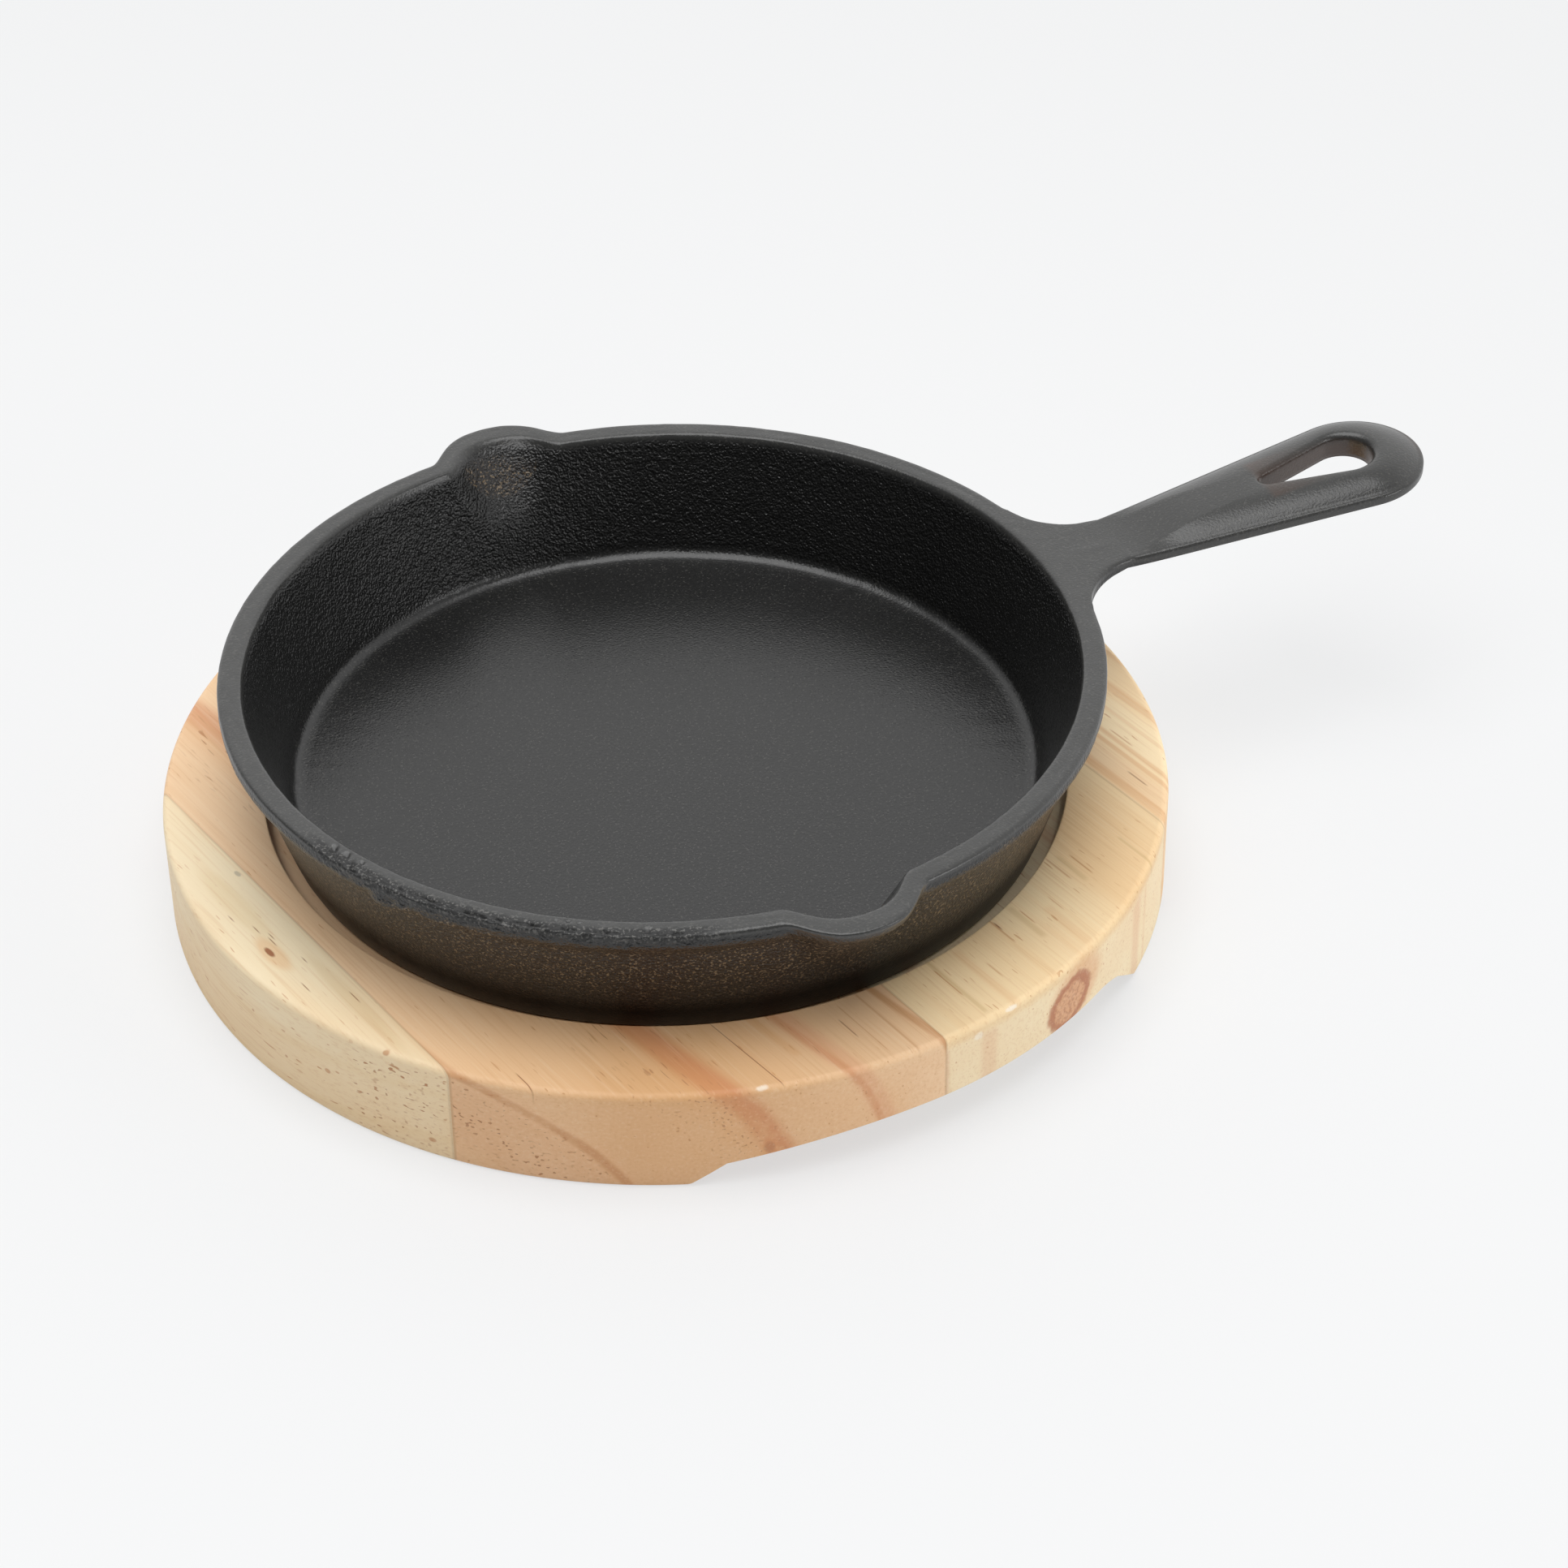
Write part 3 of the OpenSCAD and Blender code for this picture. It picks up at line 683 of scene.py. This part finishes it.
# Where a ring, streak, speckled patch or knot of a board is, in millimetres across the board
# and along the grain from the middle of the base, and up from the table
class Board:
    def __init__(self, name, pale, warm, heart, drift, seed):
        self.f = f = Finish(bpy.data.materials.new(name))
        self.seed = seed
        self.at = f.add("ShaderNodeVectorRotate", {"rotation_type": "Z_AXIS"},
                        {"Vector": f.place(), "Angle": -math.radians(BASE_TURN)})
        self.across, self.along, self.height = f.split(self.at)
        self.on_top = self.height.band(BASE_T - 3.5, BASE_T - 1.5)
        self.slow = self.stretched(0.03, 0.012)
        self.streaky = self.stretched(0.35, 0.012)
        self.fibre = self.stretched(1.9, 0.04)
        self.heart_r = self.to_heart(heart, drift)
        self.tone = f.mix(self.slow.band(0.35, 0.65), pale, warm)
        self.tone = f.mix((self.streaky - 0.42).band(0.0, 0.3) * 0.35, self.tone, warm)

    def stretched(self, fine, along_grain, detail=2.0):
        f = self.f
        at = f.combine(self.across * fine, self.along * along_grain, self.height * fine + self.seed)
        return f.noise(at, 1.0, detail, 0.55)

    def to_heart(self, heart, drift):
        dx = self.across - heart[0] - (self.along + 75) * drift
        dz = self.height - heart[1]
        return (dx * dx + dz * dz).math("SQRT") + (self.stretched(0.06, 0.02) - 0.5) * 2.4

    def colour(self, mask, strength, tint):
        self.tone = self.f.mix(mask * strength, self.tone, tint)

    def ring(self, radius, half, strength, tint):
        broken = self.streaky.band(0.2, 0.55) * 0.5 + 0.5
        self.colour(self.heart_r.hump(radius, half) * broken, strength, tint)

    def streak(self, x, y_from, y_to, half, strength, tint, lean=0.0):
        middle = (y_from + y_to) / 2
        line = self.across - (self.along - middle) * lean if lean else self.across
        ends = self.along.between(min(y_from, y_to), max(y_from, y_to), 0.8)
        self.colour(line.hump(x, half) * ends * self.on_top, strength, tint)

    def patch(self, centre, size, strength, tint):
        dx = (self.across - centre[0]) / size[0]
        dy = (self.along - centre[1]) / size[1]
        dz = (self.height - centre[2]) / size[2]
        away = (dx * dx + dy * dy + dz * dz).math("SQRT") + (self.fibre - 0.5) * 0.5
        self.colour(away.band(1.15, 0.6), strength, tint)

    def pores(self, share, strength, tint, where=None):
        f = self.f
        at = f.combine(self.across * 1.9, self.along * 0.24, self.height * 1.9 + self.seed * 2)
        dots = f.noise(at, 1.0, 0.0, 0.5).band(share, share + 0.05)
        rows = self.heart_r.math("PINGPONG", 3.1).band(0.4, 2.6) * 0.7 + 0.3
        mask = dots * rows * (where if where is not None else 1.0)
        self.colour(mask, strength, tint)

    def glue(self, x):
        self.colour(self.across.hump(x, 0.34), 0.24, srgb(140, 96, 56))

    def finish(self):
        f = self.f
        self.colour(self.fibre.band(0.50, 0.70), 0.18, srgb(204, 148, 92))
        self.colour(self.fibre.band(0.46, 0.30), 0.12, srgb(250, 232, 200))
        normal = f.bump(self.fibre, 0.05 * MM)
        roughness = 0.50 + 0.14 * self.streaky
        return f.surface(self.tone, roughness, normal)


BROWN, DARK_BROWN, RED_BROWN = srgb(190, 120, 60), srgb(140, 70, 24), srgb(204, 122, 74)
ORANGE, PINK, OLIVE = srgb(220, 160, 102), srgb(222, 162, 122), srgb(208, 174, 118)
# The white of small nicks, also used for a painted highlight on the top edge
NICK_AND_HIGHLIGHT_WHITE = srgb(252, 240, 222)


def rear_board():
    b = Board("wood_rear", srgb(248, 230, 194), srgb(240, 212, 170), (-70, -60), 0.0, 1.0)
    b.colour(b.heart_r.math("PINGPONG", 5.0).band(3.2, 5.0), 0.25, srgb(232, 200, 148))
    b.patch((-85.6, -4.0, 20), (2.0, 6.0, 4), 0.40, srgb(226, 168, 104))
    b.patch((-85.9, -3.3, 20), (0.6, 1.7, 3), 0.9, srgb(150, 84, 42))
    b.patch((-81, -24, 20), (1.6, 18, 3), 0.25, OLIVE)
    b.patch((-84, 12, 20), (2.4, 14, 3), 0.25, srgb(222, 194, 140))
    for x, y_from, y_to in ((-84, 0.2, -2.2), (-83.4, 1.2, -0.5), (-85.7, -14, -16.5), (-80.3, -21, -24),
                            (-84.6, 2.5, 4.5), (-86.6, 8, 9.6), (-82.1, -8, -9.4)):
        b.streak(x, y_from, y_to, 0.17, 0.7, DARK_BROWN)
    cluster = b.along.between(-47, -31, 2) * b.height.band(19.2, 18.4)
    b.pores(0.67, 0.65, srgb(164, 92, 36), cluster)
    b.pores(0.75, 0.6, BROWN)
    for azimuth, height, size in ((-163.9, 9.6, 0.9), (-150.5, 3.6, 0.9), (-155.7, 19.6, 0.8),
                                  (-176, 12, 0.5), (-170.5, 7, 0.5)):
        x, y = BASE_R * unit(azimuth)
        b.patch((x, y, height), (2, size * 0.8, size * 0.6), 0.55, srgb(184, 108, 50))
    b.glue(GLUE_LINES[0])
    b.patch((-79.3, 19.3, 20), (0.5, 1.0, 1), 0.5, srgb(150, 142, 124))
    return b.finish()


def rear_middle_board():
    b = Board("wood_rear_middle", srgb(243, 207, 166), srgb(235, 192, 146), (-100, -20), -0.12, 5.0)
    b.colour(b.along.band(-50, -72) * b.across.band(-72, -54) * b.across.band(-18, -44), 0.5,
             srgb(212, 158, 100))
    b.colour(b.height.band(18.8, 17.0), 0.15, srgb(236, 190, 150))
    b.ring(47.2, 1.1, 0.60, srgb(198, 134, 84))
    b.colour(b.heart_r.between(36, 46.5, 2.0), 0.18, srgb(206, 146, 104))
    b.ring(68.5, 3.4, 0.62, RED_BROWN)
    b.ring(66.0, 5.0, 0.25, ORANGE)
    b.ring(85.5, 2.6, 0.50, PINK)
    b.ring(84.6, 1.0, 0.35, RED_BROWN)
    b.ring(100.3, 1.1, 0.55, BROWN)
    b.streak(-69, -56, -60.6, 0.15, 0.8, DARK_BROWN)
    b.streak(-35.2, -64.7, -84.4, 0.15, 0.75, DARK_BROWN, -0.045)
    b.streak(-17.5, -77, -82, 0.2, 0.6, DARK_BROWN)
    b.streak(-15.5, -74, -88, 0.2, 0.35, BROWN)
    b.streak(-11.2, -73, -91, 0.3, 0.35, BROWN)
    b.streak(-29, -66, -80, 1.2, 0.3, ORANGE, -0.1)
    b.patch((-38.5, -83.4, 20), (1.6, 0.9, 0.6), 0.75, NICK_AND_HIGHLIGHT_WHITE)
    b.patch((-37.4, -84, 7), (1.0, 4, 1.4), 0.3, srgb(150, 84, 50))
    arc_rows = b.heart_r.between(36, 46, 1.5) + b.heart_r.between(60, 70, 3) * 0.7
    b.pores(0.68, 0.6, DARK_BROWN, arc_rows)
    b.pores(0.76, 0.5, BROWN)
    b.glue(GLUE_LINES[0])
    b.glue(GLUE_LINES[1])
    return b.finish()


def handle_middle_board():
    b = Board("wood_handle_middle", srgb(248, 224, 180), srgb(241, 205, 155), (120, -60), -0.05, 9.0)
    b.colour(b.height.band(18.8, 17.0), 0.45, srgb(250, 236, 204))
    side = b.height.band(18.5, 16.5)
    b.colour(b.across.hump(3.2, 2.6) * side, 0.30, PINK)
    b.colour(b.across.hump(46, 2.4) * side, 0.32, PINK)
    b.colour(b.across.hump(50, 0.7) * side, 0.20, ORANGE)
    for x, y_from, y_to, half, strength, tint in (
            (3.9, -73, -90, 0.7, 0.45, OLIVE), (3.4, -76, -84, 0.2, 0.6, BROWN),
            (19.5, -69, -78, 0.3, 0.5, BROWN), (19.8, -72, -74, 0.25, 0.8, DARK_BROWN),
            (24.6, -70, -80, 1.0, 0.4, OLIVE), (25.6, -72, -76, 0.2, 0.6, BROWN),
            (38.5, -63, -70, 0.3, 0.5, BROWN), (40.5, -64, -72, 0.9, 0.35, OLIVE),
            (42.6, -65, -71, 0.25, 0.6, BROWN), (52.9, -66, -77, 0.5, 0.4, OLIVE),
            (12.0, -80, -84, 0.25, 0.4, BROWN), (32.0, -72, -76, 0.2, 0.4, BROWN),
            (30.0, -74, -86, 1.6, 0.2, ORANGE), (9.5, -74, -91, 1.4, 0.22, ORANGE)):
        b.streak(x, y_from, y_to, half, strength, tint)
    knot_x, knot_z = BASE_R * math.cos(math.radians(-75.3)), 11.9
    dx = (b.across - knot_x) / 5.0 - (b.height - knot_z) * 0.05
    dz = (b.height - knot_z) / 4.4
    front = b.along.band(-74, -80)
    away = (dx * dx + dz * dz).math("SQRT") + (b.f.noise(b.at, 0.5, 2.0) - 0.5) * 0.45
    halo_dx, halo_dz = dx - 0.25, dz - 0.3
    halo = (halo_dx * halo_dx + halo_dz * halo_dz).math("SQRT").band(1.75, 1.0)
    b.colour(halo * front, 0.55, srgb(222, 160, 108))
    b.colour(away.band(1.12, 1.0) * front, 0.75, srgb(214, 158, 118))
    mottle = b.f.noise(b.at, 1.4, 2.0).band(0.45, 0.62)
    b.colour(away.band(0.95, 0.85) * mottle * front, 0.5, srgb(178, 112, 78))
    b.colour(away.hump(1.0, 0.3) * front, 0.65, srgb(168, 90, 56))
    b.patch((0.8, -92, 17.5), (1.1, 3, 0.9), 0.6, NICK_AND_HIGHLIGHT_WHITE)
    # Painted highlight: white dashes on the round of the top edge
    b.patch((8.4, -91.8, 19.5), (1.5, 1.4, 0.4), 0.8, NICK_AND_HIGHLIGHT_WHITE)
    b.pores(0.75, 0.5, BROWN)
    b.glue(GLUE_LINES[1])
    b.colour(b.across.band(GLUE_LINES[1] + 1.2, GLUE_LINES[1]) * side, 0.4, srgb(206, 148, 108))
    b.glue(GLUE_LINES[2])
    return b.finish()


def handle_side_board():
    b = Board("wood_handle_side", srgb(254, 230, 188), srgb(247, 211, 162), (150, -50), 0.0, 13.0)
    for x, half, strength in ((63.5, 1.6, 0.5), (69.6, 0.9, 0.45), (71.4, 0.9, 0.4), (81.3, 1.4, 0.4),
                              (76.5, 0.6, 0.25), (88.0, 1.0, 0.3)):
        b.colour(b.across.hump(x, half), strength, ORANGE)
    b.colour(b.across.hump(66.5, 3.6), 0.2, PINK)
    b.streak(72.6, -40, -46, 0.25, 0.5, BROWN)
    b.streak(66.9, -52, -57, 0.25, 0.6, DARK_BROWN)
    b.pores(0.75, 0.5, BROWN)
    b.glue(GLUE_LINES[2])
    return b.finish()


# Camera, where the photograph's perspective puts it
HANDLE_TURN = 23.5
CAMERA_DISTANCE = 749.73
CAMERA_HEIGHT_ANGLE = 36.86
CAMERA_ROLL = 0.74
CAMERA_TARGET = (21.58, -5.82, 20.0)
FOCAL_PX, IMAGE_PX = 5060.44, 1932


def to_cad(v):
    c, s = unit(HANDLE_TURN)
    return Vector((v[0] * c + v[1] * s, -v[0] * s + v[1] * c, v[2]))


def add_camera():
    up = math.radians(CAMERA_HEIGHT_ANGLE)
    back = Vector((0, -math.cos(up), math.sin(up)))
    forward = -back
    across = Vector((1, 0, 0))
    down = forward.cross(across)
    roll = math.radians(CAMERA_ROLL)
    right = across * math.cos(roll) + down * math.sin(roll)
    down = down * math.cos(roll) - across * math.sin(roll)
    data = bpy.data.cameras.new("camera")
    data.sensor_width = 36
    data.lens = 36 * FOCAL_PX / IMAGE_PX
    data.clip_end = 20
    camera = bpy.data.objects.new("camera", data)
    bpy.context.scene.collection.objects.link(camera)
    turn = Matrix((to_cad(right), to_cad(-down), to_cad(back))).transposed()
    place = to_cad(Vector(CAMERA_TARGET) + back * CAMERA_DISTANCE) * MM
    camera.matrix_world = Matrix.Translation(place) @ turn.to_4x4()
    bpy.context.scene.camera = camera


GROUND = (0.88, 0.885, 0.89)
GROUND_OWN_WHITE = 0.7
GROUND_HALF = 6.0


def add_floor():
    half = GROUND_HALF
    corners = [(-half, -half, 0), (half, -half, 0), (half, half, 0), (-half, half, 0)]
    mesh = bpy.data.meshes.new("floor")
    mesh.from_pydata(corners, [], [(0, 1, 2, 3)])
    floor = bpy.data.objects.new("floor", mesh)
    bpy.context.scene.collection.objects.link(floor)
    floor.location.z = -0.0001
    floor.data.materials.append(ground())


# Near-white paper; seen directly or in the iron, part of its white is its own
def ground():
    f = Finish(bpy.data.materials.new("ground"))
    rays = f.add("ShaderNodeLightPath")
    seen = rays["Is Camera Ray"].math("MAXIMUM", rays["Is Glossy Ray"]) * GROUND_OWN_WHITE
    paper = f.add("ShaderNodeBsdfDiffuse", {}, {"Color": (*GROUND, 1)})
    white = f.add("ShaderNodeEmission", {}, {"Color": (*GROUND, 1)})
    both = f.add("ShaderNodeMixShader", {}, {0: seen, 1: paper, 2: white})
    f.add("ShaderNodeOutputMaterial", {}, {"Surface": both})
    return f.owner


# Soft light: a studio that is brighter at the back, one lamp low at the right, one overhead
WORLD_DIM, WORLD_BRIGHT = 0.14, 0.95
WORLD_TOWARDS = (0.30, 0.92, 0.25)
LAMPS = {"right": ((0.88, -0.44, 0.28), 0.36, 1.8), "top": ((-0.10, -0.12, 1.05), 1.1, 11.0)}


def add_light():
    scene = bpy.context.scene
    scene.world = bpy.data.worlds.new("studio")
    f = Finish(scene.world)
    direction = f.add("ShaderNodeTexCoord")["Generated"]
    towards = to_cad(WORLD_TOWARDS).normalized()
    facing = f.vector("DOT_PRODUCT", direction, tuple(towards))
    low = 1 - f.split(direction)[2].band(0.65, 0.95) * 0.8
    strength = facing.band(-0.10, 0.70) * low * WORLD_BRIGHT + WORLD_DIM
    sky = f.add("ShaderNodeBackground", {}, {"Color": (1, 1, 1, 1), "Strength": strength})
    f.add("ShaderNodeOutputWorld", {}, {"Surface": sky})
    for name, (place, size, watts) in LAMPS.items():
        data = bpy.data.lights.new("softbox_" + name, "AREA")
        data.size = size
        data.energy = watts
        lamp = bpy.data.objects.new("softbox_" + name, data)
        scene.collection.objects.link(lamp)
        lamp.location = to_cad(place)
        lamp.rotation_euler = lamp.location.to_track_quat("Z", "Y").to_euler()
    scene.view_settings.view_transform = "Standard"


def dress(piece, node, material):
    piece.data.materials.clear()
    piece.data.materials.append(material)
    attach(piece, "root")
    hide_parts(node)
    slots[node]


slots = {"skillet": "cast_iron", "base_strip_rear": "wood_rear",
         "base_strip_rear_middle": "wood_rear_middle",
         "base_strip_handle_middle": "wood_handle_middle",
         "base_strip_handle_side": "wood_handle_side"}

add_camera()
add_floor()
add_light()

dress(make_skillet(), "skillet", cast_iron())
edge = BASE_R + 3
bounds = (-edge, *GLUE_LINES, edge)
boards = {"base_strip_rear": rear_board, "base_strip_rear_middle": rear_middle_board,
          "base_strip_handle_middle": handle_middle_board, "base_strip_handle_side": handle_side_board}
for number, (node, board_finish) in enumerate(boards.items()):
    dress(make_strip(node + "_wood", bounds[number], bounds[number + 1]), node, board_finish())
